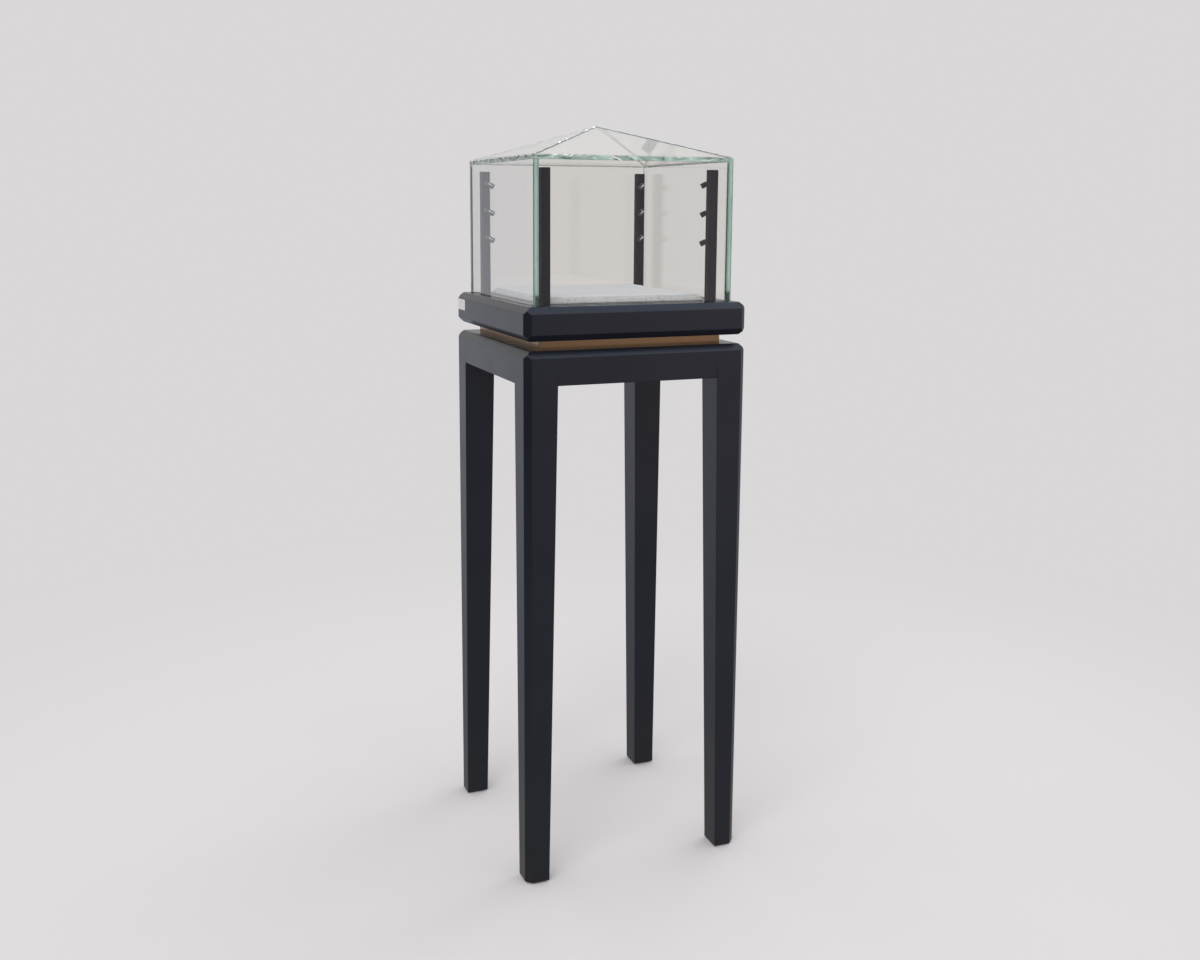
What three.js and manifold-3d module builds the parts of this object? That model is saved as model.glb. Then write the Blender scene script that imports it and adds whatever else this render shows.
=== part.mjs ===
// Display plinth: a slim four-legged table frame, a recessed bronze neck, a
// chamfered case base and a lift-off glass hood with a low pyramid roof. Four
// light posts inside the hood each carry three small swivelling spotlights.
// Millimetres, +Z up, origin on the floor at the middle of the plan.
import * as THREE from 'three';
import { ConvexGeometry } from 'three/addons/geometries/ConvexGeometry.js';
import * as BufferGeometryUtils from 'three/addons/utils/BufferGeometryUtils.js';
import Module from 'manifold-3d';

const wasm = await Module();
wasm.setup();

// ---- driving dimensions ----------------------------------------------------
const WIDTH = 450;            // square plan, over the frame and the case base
const CHAMFER = 12;           // on the vertical corners and the long edges
const GAP = 0.3;              // clearance between pieces that touch

const GLIDE_H = 3;            // nylon glide under each leg
const GLIDE_R = 15;
const STEM_R = 3;
const STEM_H = 18;
const LEG_FOOT = 46;          // leg width at the floor
const LEG_TOP = 63;           // leg width under the apron line
const APRON_Z = 968;          // underside of the aprons
const APRON_T = 20;
const SLAB_Z = 1012;          // underside of the frame top
const FRAME_Z = 1032;         // top of the table frame

const NECK_HALF = 186;        // bronze neck, half width
const NECK_BAND_T = 1.2;
const BASE_Z = 1049;          // underside of the case base
const BASE_TOP = 1112;        // top of the case base
const CAVITY_HALF = 196;      // service space inside the case base
const CAVITY_TOP = 1098;
const COVER_T = 8;            // bottom cover of the case base
const HATCH_HALF = 140;       // opening under the deck
const REBATE_HALF = 150;      // rebate that locates the deck board
const REBATE_D = 6;

const GLASS_T = 10;
const GLASS_HALF = 200.5;     // outer face of the glass walls
const GROOVE_D = 4;           // groove that locates the hood
const GROOVE_CLEAR = 0.5;
const SEAL_T = 1;
const WALL_BOTTOM = 1109.6;
const EAVE_TOP = 1383.4;      // upper edge of the roof's eave
const EAVE_H = 8.4;           // upright cut edge of the 8 mm roof panes
const APEX_Z = 1448;

const PAD_HALF = 161;         // display pad at its foot
const PAD_TOP_HALF = 149;     // and above its bevel
const PAD_H = 14;
const PAD_EDGE = 2.5;         // upright edge below the bevel

const POST_AT = 170;          // post centres, from the middle
const POST_W = 17;
const POST_WALL = 2;
const POST_TOP = 1361;

const LAMP_Z = [1337.5, 1282.5, 1227.5];
const LAMP_STANDOFF = 8;      // pivot, off the post's face
const LAMP_R = 5.2;
const LAMP_REACH = 15.5;      // pivot to the front rim
const LAMP_DOWN = 30;         // degrees below level
const LAMP_TURN = 60;         // degrees from square to the post's face, inwards
const PIN_R = 1;
const TONGUE_R = 3;
const TONGUE_T = 2.6;
const EAR_T = 1.8;

const LABEL = { y0: 162, y1: 212, z0: 1077, z1: 1099, t: 0.5, pocket: 0.6, r: 3 };
const GROMMET = { x: -150, z: 1078, bore: 3.6, body: 5.7, flange: 9, flangeT: 2 };

// ---- materials -------------------------------------------------------------
const mat = (color, roughness, metalness, extra = {}) =>
  new THREE.MeshStandardMaterial({ color, roughness, metalness, ...extra });
const LACQUER = mat(0x23262d, 0.32, 0.0);
const LACQUER_IN = mat(0x1b1c20, 0.7, 0.0);
const BRONZE = mat(0x8a6440, 0.35, 1.0);
const GLASS = mat(0xdfeee8, 0.02, 0.0, { transparent: true, opacity: 0.3 });
const BLACK_ALU = mat(0x2c2a31, 0.4, 0.8);
const LAMP_BLACK = mat(0x1c1b20, 0.35, 0.8);
const SUEDE = mat(0xcfcfd4, 0.95, 0.0);
const PLY = mat(0xb08f63, 0.7, 0.0);
const STEEL = mat(0x8e9094, 0.4, 1.0);
const DRIVER = mat(0xd9d9d6, 0.5, 0.1);
const RUBBER = mat(0x17171a, 0.8, 0.0);
const NYLON = mat(0x202022, 0.55, 0.0);
const CABLE = mat(0x111113, 0.6, 0.0);
const PAPER = mat(0xe9e9e7, 0.45, 0.0);

// ---- helpers ---------------------------------------------------------------
const plinth = new THREE.Group();

function mesh(name, geometry, material, parent = plinth) {
  const m = new THREE.Mesh(geometry, material);
  m.name = name;
  parent.add(m);
  return m;
}

const v3 = (x, y, z) => new THREE.Vector3(x, y, z);

function hull(points) {
  return new ConvexGeometry(points.map((p) => v3(...p)));
}

function toManifold(geometry) {
  const g = geometry.clone();
  g.deleteAttribute('normal');
  g.deleteAttribute('uv');
  const merged = BufferGeometryUtils.mergeVertices(g, 1e-4);
  return new wasm.Manifold(new wasm.Mesh({
    numProp: 3,
    vertProperties: new Float32Array(merged.attributes.position.array),
    triVerts: new Uint32Array(merged.index.array),
  }));
}

function fromManifold(solid) {
  const m = solid.getMesh();
  const g = new THREE.BufferGeometry();
  const n = m.numProp;
  const pos = new Float32Array((m.vertProperties.length / n) * 3);
  for (let i = 0; i < pos.length / 3; i++) {
    for (let k = 0; k < 3; k++) pos[i * 3 + k] = m.vertProperties[i * n + k];
  }
  g.setAttribute('position', new THREE.BufferAttribute(pos, 3));
  g.setIndex(new THREE.BufferAttribute(new Uint32Array(m.triVerts), 1));
  g.computeVertexNormals();
  return g;
}

// A box from its two corners.
function block(x0, y0, z0, x1, y1, z1) {
  const g = new THREE.BoxGeometry(x1 - x0, y1 - y0, z1 - z0);
  g.translate((x0 + x1) / 2, (y0 + y1) / 2, (z0 + z1) / 2);
  return g;
}

// A cylinder along Z from z0 to z1, on the axis (x, y).
function rod(x, y, z0, z1, r, segments = 16) {
  const g = new THREE.CylinderGeometry(r, r, z1 - z0, segments);
  g.rotateX(Math.PI / 2);
  g.translate(x, y, (z0 + z1) / 2);
  return g;
}

// A closed profile of [radius, height] pairs turned about Z.
function turned(profile, segments = 20) {
  const g = new THREE.LatheGeometry(profile.map(([r, h]) => new THREE.Vector2(r, h)), segments);
  g.rotateX(Math.PI / 2);
  return g;
}

function cut(base, tools) {
  let s = toManifold(base);
  for (const t of tools) s = s.subtract(toManifold(t));
  return fromManifold(s);
}

function join(parts) {
  let s = toManifold(parts[0]);
  for (const p of parts.slice(1)) s = s.add(toManifold(p));
  return fromManifold(s);
}

function octagon(half, chamfer, z) {
  const a = half, b = half - chamfer;
  return [[a, b], [b, a], [-b, a], [-a, b], [-a, -b], [-b, -a], [b, -a], [a, -b]].map(([x, y]) => [x, y, z]);
}
function square(half, z) {
  return [[1, 1], [-1, 1], [-1, -1], [1, -1]].map(([x, y]) => [x * half, y * half, z]);
}

const H = WIDTH / 2;

// ---- table frame -----------------------------------------------------------
const CORNERS = { front_left: [-1, -1], front_right: [1, -1], back_left: [-1, 1], back_right: [1, 1] };

for (const [name, [sx, sy]] of Object.entries(CORNERS)) {
  // square leg, chamfered on its outer corner, tapering on its two inner faces
  const ring = (w, z) => [
    [H - CHAMFER, H], [H, H - CHAMFER], [H, H - w], [H - w, H - w], [H - w, H],
  ].map(([x, y]) => [sx * x, sy * y, z]);
  const body = hull([...ring(LEG_FOOT, GLIDE_H), ...ring(LEG_TOP, APRON_Z), ...ring(LEG_TOP, SLAB_Z - GAP)]);
  const c = H - LEG_FOOT / 2;
  mesh(`leg_${name}`,
    cut(body, [rod(sx * c, sy * c, 0, GLIDE_H + STEM_H, STEM_R + GAP, 12)]), LACQUER);
  mesh(`glide_${name}`, join([
    rod(sx * c, sy * c, 0, GLIDE_H - GAP, GLIDE_R, 24),
    rod(sx * c, sy * c, 1, GLIDE_H + STEM_H - 1, STEM_R, 12),
  ]), NYLON);
}

const AX = H - LEG_TOP - GAP;
mesh('apron_front', block(-AX, -H, APRON_Z, AX, -H + APRON_T, SLAB_Z - GAP), LACQUER);
mesh('apron_back', block(-AX, H - APRON_T, APRON_Z, AX, H, SLAB_Z - GAP), LACQUER);
mesh('apron_left', block(-H, -AX, APRON_Z, -H + APRON_T, AX, SLAB_Z - GAP), LACQUER);
mesh('apron_right', block(H - APRON_T, -AX, APRON_Z, H, AX, SLAB_Z - GAP), LACQUER);

mesh('frame_top', hull([
  ...octagon(H, CHAMFER, SLAB_Z),
  ...octagon(H, CHAMFER, FRAME_Z - CHAMFER),
  ...square(H - CHAMFER / 2, FRAME_Z - CHAMFER / 2),
  ...square(H - CHAMFER, FRAME_Z),
]), LACQUER);

// ---- neck ------------------------------------------------------------------
const CORE = NECK_HALF - NECK_BAND_T - GAP;
mesh('neck_core', block(-CORE, -CORE, FRAME_Z + GAP, CORE, CORE, BASE_Z - GAP), PLY);

{
  // one folded strip round the core, its ends meeting at the back
  const o = NECK_HALF, i = NECK_HALF - NECK_BAND_T, s = 0.4;
  const shape = new THREE.Shape([
    [-s, o], [-o, o], [-o, -o], [o, -o], [o, o], [s, o],
    [s, i], [i, i], [i, -i], [-i, -i], [-i, i], [-s, i],
  ].map(([x, y]) => new THREE.Vector2(x, y)));
  const g = new THREE.ExtrudeGeometry(shape, { depth: BASE_Z - FRAME_Z - 2 * GAP, bevelEnabled: false });
  g.translate(0, 0, FRAME_Z + GAP);
  mesh('neck_band', g, BRONZE);
}

// ---- case base -------------------------------------------------------------
{
  const body = hull([
    ...square(H - CHAMFER, BASE_Z),
    ...square(H - CHAMFER / 2, BASE_Z + CHAMFER / 2),
    ...octagon(H, CHAMFER, BASE_Z + CHAMFER),
    ...octagon(H, CHAMFER, BASE_TOP - CHAMFER),
    ...square(H - CHAMFER / 2, BASE_TOP - CHAMFER / 2),
    ...square(H - CHAMFER, BASE_TOP),
  ]);
  const C = CAVITY_HALF, R = REBATE_HALF + GAP, Q = HATCH_HALF;
  const go = GLASS_HALF + GROOVE_CLEAR, gi = GLASS_HALF - GLASS_T - GROOVE_CLEAR;
  const groove = cut(block(-go, -go, BASE_TOP - GROOVE_D, go, go, BASE_TOP + 5),
    [block(-gi, -gi, BASE_TOP - GROOVE_D - 1, gi, gi, BASE_TOP + 6)]);
  const wireHoles = Object.values(CORNERS).map(([sx, sy]) =>
    rod(sx * (POST_AT + 3), sy * (POST_AT + 3), CAVITY_TOP - 2, BASE_TOP + 2, 3, 12));
  const across = (y0, y1, r, n) => {
    const g = new THREE.CylinderGeometry(r, r, y1 - y0, n);
    g.translate(GROMMET.x, (y0 + y1) / 2, GROMMET.z);
    return g;
  };
  const pocket = roundedPlate(-H - 1, -H + LABEL.pocket, LABEL.y0 - GAP, LABEL.y1 + GAP,
    LABEL.z0 - GAP, LABEL.z1 + GAP, LABEL.r + GAP);
  mesh('case_base_shell', cut(body, [
    block(-C, -C, BASE_Z - 2, C, C, CAVITY_TOP),
    block(-Q, -Q, CAVITY_TOP - 2, Q, Q, BASE_TOP + 2),
    block(-R, -R, BASE_TOP - REBATE_D, R, R, BASE_TOP + 2),
    groove,
    ...wireHoles,
    across(C - 4, H + 2, GROMMET.body + GAP, 16),
    across(H - GROMMET.flangeT - GAP, H + 2, GROMMET.flange + GAP, 20),
    pocket,
  ]), LACQUER);

  const P = C - GAP;
  mesh('case_base_cover', block(-P, -P, BASE_Z, P, P, BASE_Z + COVER_T), LACQUER_IN);

  // rubber grommet in the back wall, where a supply lead would leave
  const b = GROMMET, grom = new THREE.LatheGeometry([
    [b.bore, C - 2.5], [b.body + 1.8, C - 2.5], [b.body + 1.8, C - GAP], [b.body, C - GAP],
    [b.body, H - b.flangeT], [b.flange, H - b.flangeT], [b.flange, H - 0.6], [b.flange - 0.6, H],
    [b.bore, H], [b.bore, C - 2.5],
  ].map(([r, h]) => new THREE.Vector2(r, h)), 20);
  grom.translate(b.x, 0, b.z);
  mesh('cord_grommet', grom, RUBBER);

  mesh('blank_label', roundedPlate(-H - 0.2, -H - 0.2 + LABEL.t, LABEL.y0, LABEL.y1,
    LABEL.z0, LABEL.z1, LABEL.r), PAPER);
}

// A thin upright plate facing -X, with rounded corners.
function roundedPlate(x0, x1, y0, y1, z0, z1, r) {
  const s = new THREE.Shape();
  s.moveTo(y0 + r, z0);
  s.lineTo(y1 - r, z0); s.absarc(y1 - r, z0 + r, r, -Math.PI / 2, 0, false);
  s.lineTo(y1, z1 - r); s.absarc(y1 - r, z1 - r, r, 0, Math.PI / 2, false);
  s.lineTo(y0 + r, z1); s.absarc(y0 + r, z1 - r, r, Math.PI / 2, Math.PI, false);
  s.lineTo(y0, z0 + r); s.absarc(y0 + r, z0 + r, r, Math.PI, 1.5 * Math.PI, false);
  const g = new THREE.ExtrudeGeometry(s, { depth: x1 - x0, bevelEnabled: false, curveSegments: 4 });
  // shape X -> world Y, shape Y -> world Z, depth -> world X
  g.applyMatrix4(new THREE.Matrix4().makeBasis(v3(0, 1, 0), v3(0, 0, 1), v3(1, 0, 0)));
  g.translate(x0, 0, 0);
  return g;
}

// ---- deck: board and fabric-wrapped pad, lifting out as one ------------------
mesh('deck_board', block(-REBATE_HALF, -REBATE_HALF, BASE_TOP - REBATE_D + GAP,
  REBATE_HALF, REBATE_HALF, BASE_TOP), PLY);
{
  const z = BASE_TOP + GAP;
  mesh('deck_pad', hull([
    ...square(PAD_HALF, z), ...square(PAD_HALF, z + PAD_EDGE), ...square(PAD_TOP_HALF, BASE_TOP + PAD_H),
  ]), SUEDE);
}

// ---- LED driver and its leads, in the service space --------------------------
{
  const z = BASE_Z + COVER_T + GAP;
  mesh('led_driver', join([
    block(-70, 80, z, 70, 122, z + 24),
    block(-84, 90, z, 84, 112, z + 3),
  ]), DRIVER);

  const section = new THREE.Shape(Array.from({ length: 8 }, (_, i) =>
    new THREE.Vector2(2 * Math.cos(i * Math.PI / 4), 2 * Math.sin(i * Math.PI / 4))));
  const lead = (pts, steps) => new THREE.ExtrudeGeometry(section, {
    steps, bevelEnabled: false, extrudePath: new THREE.CatmullRomCurve3(pts.map((p) => v3(...p)), false, 'centripetal'),
  });
  const q = POST_AT + 3, top = LAMP_Z[0] - 8, run = 1084;
  const parts = [block(92, 38, z, 122, 58, z + 16)];
  const routes = {
    front_left: [[-q, -q, 1092], [-q + 5, -q + 5, run + 3], [-140, -140, run], [-20, -30, run], [88, 38, run - 4], [97, 44, z + 12]],
    front_right: [[q, -q, 1092], [q - 4, -q + 6, run + 3], [165, -120, run], [130, 20, run - 2], [117, 43, z + 12]],
    back_left: [[-q, q, 1092], [-q + 6, q - 4, run + 3], [-120, 160, run], [40, 140, run + 2], [92, 80, run - 4], [98, 53, z + 12]],
    back_right: [[q, q, 1092], [q - 5, q - 5, run + 3], [150, 140, run], [125, 80, run - 4], [116, 53, z + 12]],
  };
  for (const pts of Object.values(routes)) {
    const [x, y, h] = pts[0];
    parts.push(rod(x, y, h - 1, top, 2, 8), lead(pts, 13));   // down its post, then across
  }
  parts.push(lead([[93, 48, z + 9], [84, 60, z + 10], [78, 88, z + 12], [70 + GAP + 2.4, 101, z + 12]], 8));
  mesh('led_wiring', join(parts), CABLE);
}

// ---- light posts and spotlights ----------------------------------------------
// Swivel, in its own frame: +Z off the post's face, +X along the tilt pin.
function swivelGeometry() {
  const S = LAMP_STANDOFF;
  const base = turned([[0, -4.5], [1.7, -4.5], [1.7, GAP], [4.5, GAP], [4.5, 1.4], [4.0, 1.9],
    [2.2, 1.9], [2.2, 4.0], [0, 4.0]], 12);
  const tongue = hull([
    ...[-1, 1].flatMap((s) => [[s * TONGUE_T / 2, -2.0, 3.4], [s * TONGUE_T / 2, 2.0, 3.4]]),
    ...[-1, 1].flatMap((s) => Array.from({ length: 7 }, (_, i) => {
      const a = (i / 6) * Math.PI;
      return [s * TONGUE_T / 2, TONGUE_R * Math.cos(a), S + TONGUE_R * Math.sin(a)];
    })),
  ]);
  const hole = new THREE.CylinderGeometry(PIN_R + GAP, PIN_R + GAP, 8, 8);
  hole.rotateZ(Math.PI / 2);
  hole.translate(0, 0, S);
  return cut(join([base, tongue]), [hole]);
}
// Head, in its own frame: pivot at the origin, beam along +Z, pin along X.
function headGeometry() {
  const R = LAMP_R, L = LAMP_REACH, back = TONGUE_R + 0.5;
  const barrel = turned([[0, back], [R - 1.2, back], [R, back + 1.2], [R, L - 0.5], [R - 0.5, L],
    [R - 1.1, L], [R - 1.1, L - 1.2], [0, L - 1.2]], 16);
  const x0 = TONGUE_T / 2 + GAP, x1 = x0 + EAR_T;
  const ears = [-1, 1].map((s) => hull([x0, x1].flatMap((x) => [
    ...Array.from({ length: 7 }, (_, i) => {
      const a = Math.PI + (i / 6) * Math.PI;
      return [s * x, 2.9 * Math.cos(a), 2.9 * Math.sin(a)];
    }),
    [s * x, -2.9, back + 1], [s * x, 2.9, back + 1],
  ])));
  const pin = new THREE.CylinderGeometry(PIN_R, PIN_R, 2 * x1 + 0.6, 8);
  pin.rotateZ(Math.PI / 2);
  return join([barrel, ...ears, pin]);
}
const SWIVEL = swivelGeometry();
const HEAD = headGeometry();

for (const [name, [sx, sy]] of Object.entries(CORNERS)) {
  const w = POST_W / 2, i = w - POST_WALL, c = 0.8;
  const outline = (h) => [[w - c, w], [w, w - c], [w, -w + c], [w - c, -w], [-w + c, -w], [-w, -w + c], [-w, w - c], [-w + c, w]]
    .map(([x, y]) => [x, y, h]);
  const post = new THREE.Group();
  post.position.set(sx * POST_AT, sy * POST_AT, 0);
  plinth.add(post);
  const facing = v3(0, -sy, 0);
  const holes = LAMP_Z.map((z) => {
    const g = new THREE.CylinderGeometry(2, 2, 6, 12);
    g.translate(0, -sy * w, z);
    return g;
  });
  mesh(`light_post_${name}`, cut(hull([...outline(BASE_TOP + GAP), ...outline(POST_TOP)]), [
    block(-i, -i, BASE_TOP - 2, i, i, POST_TOP - 3), ...holes,
  ]), BLACK_ALU, post);

  // aimed inwards over the deck, and down
  const down = THREE.MathUtils.degToRad(LAMP_DOWN);
  const turn = THREE.MathUtils.degToRad(LAMP_TURN);
  const aim = v3(-sx * Math.cos(down) * Math.sin(turn), -sy * Math.cos(down) * Math.cos(turn), -Math.sin(down));
  const pinAxis = v3().crossVectors(facing, aim).normalize();
  const side = v3().crossVectors(facing, pinAxis);
  const tilt = facing.angleTo(aim);
  LAMP_Z.forEach((z, k) => {
    const lamp = new THREE.Group();
    lamp.quaternion.setFromRotationMatrix(new THREE.Matrix4().makeBasis(pinAxis, side, facing));
    lamp.position.set(0, -sy * w, z);
    post.add(lamp);
    mesh(`lamp_swivel_${name}_${k + 1}`, SWIVEL.clone(), LAMP_BLACK, lamp);
    const head = new THREE.Group();
    head.position.set(0, 0, LAMP_STANDOFF);
    head.rotation.x = tilt;
    lamp.add(head);
    mesh(`lamp_head_${name}_${k + 1}`, HEAD.clone(), LAMP_BLACK, head);
  });
}

// ---- glass hood --------------------------------------------------------------
{
  const G = GLASS_HALF, I = GLASS_HALF - GLASS_T;
  const slope = (APEX_Z - EAVE_TOP) / G;
  const under = EAVE_TOP - EAVE_H - GAP;                 // wall top at the outer face
  const rise = (t) => under + (G - Math.abs(t)) * slope;
  const B = WALL_BOTTOM;
  for (const [name, s] of [['left', -1], ['right', 1]]) {
    mesh(`glass_${name}`, hull([
      [s * G, -G, B], [s * G, G, B], [s * I, -G, B], [s * I, G, B],
      [s * G, -G, under], [s * G, G, under], [s * I, -G, under], [s * I, G, under],
      [s * I, -I, rise(I)], [s * I, I, rise(I)],
    ]), GLASS);
  }
  const X = I - GAP;
  for (const [name, s] of [['front', -1], ['back', 1]]) {
    mesh(`glass_${name}`, hull([
      [-X, s * G, B], [X, s * G, B], [-X, s * I, B], [X, s * I, B],
      [-X, s * G, under], [X, s * G, under], [-X, s * I, rise(I)], [X, s * I, rise(I)],
    ]), GLASS);
  }
  // four triangular roof panes, mitred along the hips
  const m = 0.2;
  [['front', 0], ['right', 1], ['back', 2], ['left', 3]].forEach(([name, q]) => {
    const turn = (q * Math.PI) / 2;
    const plan = [[-(G - m), -G, EAVE_TOP], [G - m, -G, EAVE_TOP], [0, -m, APEX_Z - m * slope]];
    const g = hull(plan.flatMap(([x, y, z]) => [[x, y, z], [x, y, z - EAVE_H]]));
    const pane = mesh(`roof_${name}`, g, GLASS);
    pane.rotation.z = turn;
  });

  // soft seal in the groove under the walls
  const so = G - GAP, si = I + GAP, z = BASE_TOP - GROOVE_D + GAP;
  mesh('glass_seal', cut(block(-so, -so, z, so, so, z + SEAL_T), [block(-si, -si, z - 1, si, si, z + 3)]), RUBBER);
}

export default plinth;
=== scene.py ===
import math

import bmesh
import bpy
from mathutils import Matrix, Vector, noise

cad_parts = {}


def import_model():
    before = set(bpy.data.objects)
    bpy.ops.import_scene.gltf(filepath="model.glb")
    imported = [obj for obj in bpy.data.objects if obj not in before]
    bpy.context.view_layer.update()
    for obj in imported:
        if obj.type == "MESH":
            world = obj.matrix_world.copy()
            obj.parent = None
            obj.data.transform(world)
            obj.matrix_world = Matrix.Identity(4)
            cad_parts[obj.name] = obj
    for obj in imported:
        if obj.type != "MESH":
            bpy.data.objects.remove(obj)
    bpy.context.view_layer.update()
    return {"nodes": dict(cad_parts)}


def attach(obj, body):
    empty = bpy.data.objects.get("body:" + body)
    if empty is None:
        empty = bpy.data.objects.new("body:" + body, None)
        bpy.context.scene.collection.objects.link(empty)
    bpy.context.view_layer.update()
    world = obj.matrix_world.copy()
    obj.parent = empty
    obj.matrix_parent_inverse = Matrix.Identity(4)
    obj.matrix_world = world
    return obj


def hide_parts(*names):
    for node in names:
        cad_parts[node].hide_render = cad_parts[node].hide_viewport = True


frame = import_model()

scene = bpy.context.scene
scene.view_settings.view_transform = "Standard"
scene.view_settings.look = "None"
scene.cycles.max_bounces = 24
scene.cycles.glossy_bounces = 14
scene.cycles.transmission_bounces = 16
scene.cycles.transparent_max_bounces = 24

MM = 0.001
H = 0.225                     # half the plan
CORNERS = {"front_left": (-1, -1), "front_right": (1, -1), "back_left": (-1, 1), "back_right": (1, 1)}
PALE = (0.695, 0.679, 0.687, 1.0)


# ---- camera -------------------------------------------------------------------
def make_camera():
    az, el, roll = map(math.radians, (-21.474, 8.95, 0.235))
    back = Vector((math.sin(az) * math.cos(el), -math.cos(az) * math.cos(el), math.sin(el)))
    right = (-back).cross(Vector((0, 0, 1))).normalized()
    up = right.cross(-back)
    right, up = (right * math.cos(roll) + up * math.sin(roll), -right * math.sin(roll) + up * math.cos(roll))
    data = bpy.data.cameras.new("camera")
    cam = bpy.data.objects.new("camera", data)
    scene.collection.objects.link(cam)
    data.sensor_width, data.lens = 36.0, 37.1255
    data.shift_x, data.shift_y = 0.0150, -0.0658
    data.clip_start, data.clip_end = 0.05, 100
    m = Matrix((right, up, back)).transposed().to_4x4()
    m.translation = Vector((-0.937659, -2.314812, 1.291906))
    cam.matrix_world = m
    scene.camera = cam


make_camera()


# ---- node helpers ----------------------------------------------------------------
class Tree:
    def __init__(self, name, kind="material"):
        if kind == "material":
            self.mat = bpy.data.materials.new(name)
            self.mat.use_nodes = True
            self.nt = self.mat.node_tree
        else:
            self.nt = kind
        self.nt.nodes.clear()

    def add(self, kind, **props):
        n = self.nt.nodes.new(kind)
        for k, v in props.items():
            setattr(n, k, v)
        return n

    def put(self, socket, value):
        if isinstance(value, bpy.types.NodeSocket):
            self.nt.links.new(value, socket)
        elif value is not None:
            socket.default_value = value

    def coords(self, scale=(1, 1, 1)):
        """Object coordinates in metres, stretched."""
        tc = self.add("ShaderNodeTexCoord")
        mp = self.add("ShaderNodeMapping")
        mp.inputs["Scale"].default_value = scale
        self.put(mp.inputs["Vector"], tc.outputs["Object"])
        return mp.outputs[0]

    def noise(self, scale, detail=3.0, rough=0.5, stretch=(1, 1, 1), distortion=0.0):
        n = self.add("ShaderNodeTexNoise")
        self.put(n.inputs["Vector"], self.coords(stretch))
        n.inputs["Scale"].default_value = scale
        n.inputs["Detail"].default_value = detail
        n.inputs["Roughness"].default_value = rough
        n.inputs["Distortion"].default_value = distortion
        return n.outputs[0]

    def math(self, op, a, b=0.0, c=0.0):
        n = self.add("ShaderNodeMath", operation=op)
        for s, v in zip(n.inputs, (a, b, c)):
            self.put(s, v)
        return n.outputs[0]

    def spread(self, value, low, high, a=0.0, b=1.0):
        """value from a..b mapped to low..high, clamped."""
        n = self.add("ShaderNodeMapRange")
        for s, v in zip(("Value", "From Min", "From Max", "To Min", "To Max"), (value, a, b, low, high)):
            self.put(n.inputs[s], v)
        return n.outputs[0]

    def ramp(self, fac, stops, mode="LINEAR"):
        n = self.add("ShaderNodeValToRGB")
        n.color_ramp.interpolation = mode
        e = n.color_ramp.elements
        while len(e) < len(stops):
            e.new(0.5)
        for i, (p, c) in enumerate(stops):
            e[i].position = p
            e[i].color = (*c, 1.0) if len(c) == 3 else c
        self.put(n.inputs[0], fac)
        return n.outputs[0]

    def mix(self, fac, a, b, blend="MIX"):
        n = self.add("ShaderNodeMix", data_type="RGBA", blend_type=blend)
        self.put(n.inputs[0], fac)
        self.put(n.inputs[6], a if isinstance(a, bpy.types.NodeSocket) else (*a, 1.0)[:4])
        self.put(n.inputs[7], b if isinstance(b, bpy.types.NodeSocket) else (*b, 1.0)[:4])
        return n.outputs[2]

    def bump(self, height, strength, distance, normal=None):
        n = self.add("ShaderNodeBump")
        self.put(n.inputs["Strength"], strength)
        n.inputs["Distance"].default_value = distance
        self.put(n.inputs["Height"], height)
        if normal is not None:
            self.put(n.inputs["Normal"], normal)
        return n.outputs[0]

    def principled(self, **kw):
        n = self.add("ShaderNodeBsdfPrincipled")
        names = {"color": "Base Color", "rough": "Roughness", "metal": "Metallic", "ior": "IOR", "normal": "Normal",
                 "coat": "Coat Weight", "coat_rough": "Coat Roughness", "sheen": "Sheen Weight",
                 "sheen_rough": "Sheen Roughness", "transmission": "Transmission Weight", "aniso": "Anisotropic",
                 "spec": "Specular IOR Level"}
        for k, v in kw.items():
            s = n.inputs[names[k]]
            self.put(s, (*v, 1.0) if isinstance(v, tuple) and len(v) == 3 else v)
        return n.outputs[0]

    def out(self, surface, volume=None):
        o = self.add("ShaderNodeOutputMaterial")
        self.put(o.inputs["Surface"], surface)
        if volume is not None:
            self.put(o.inputs["Volume"], volume)
        return getattr(self, "mat", None)


# ---- materials ---------------------------------------------------------------------
def lacquer(name="lacquer", dark=(0.0078, 0.0096, 0.0158), light=(0.0112, 0.0132, 0.0208), rough=0.22):
    t = Tree(name)
    cloud = t.noise(5.0, 4.0, 0.55)
    color = t.ramp(cloud, [(0.3, dark), (0.7, light)])
    smudge = t.noise(16.0, 6.0, 0.62, distortion=0.6)
    fine = t.noise(420.0, 3.0, 0.6)
    r = t.math("ADD", t.spread(smudge, rough - 0.03, rough + 0.06, 0.3, 0.75), t.spread(fine, -0.015, 0.02))
    peel = t.noise(650.0, 2.0, 0.45)
    wave = t.noise(55.0, 2.0, 0.5)
    n = t.bump(wave, 0.25, 0.00012)
    n = t.bump(peel, 0.14, 0.00004, n)
    return t.out(t.principled(color=color, rough=r, ior=1.5, normal=n))


def bronze():
    t = Tree("bronze_brushed")
    brush = t.noise(1.0, 5.0, 0.6, stretch=(60, 60, 4200))
    tone = t.noise(6.0, 3.0, 0.5)
    c = t.ramp(brush, [(0.3, (0.285, 0.168, 0.084)), (0.7, (0.420, 0.260, 0.138))])
    c = t.mix(t.spread(tone, 0.0, 0.55, 0.35, 0.7), c, (0.33, 0.215, 0.128))
    r = t.spread(brush, 0.13, 0.26, 0.25, 0.75)
    n = t.bump(brush, 0.25, 0.00003)
    return t.out(t.principled(color=c, metal=1.0, rough=r, normal=n))


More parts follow.
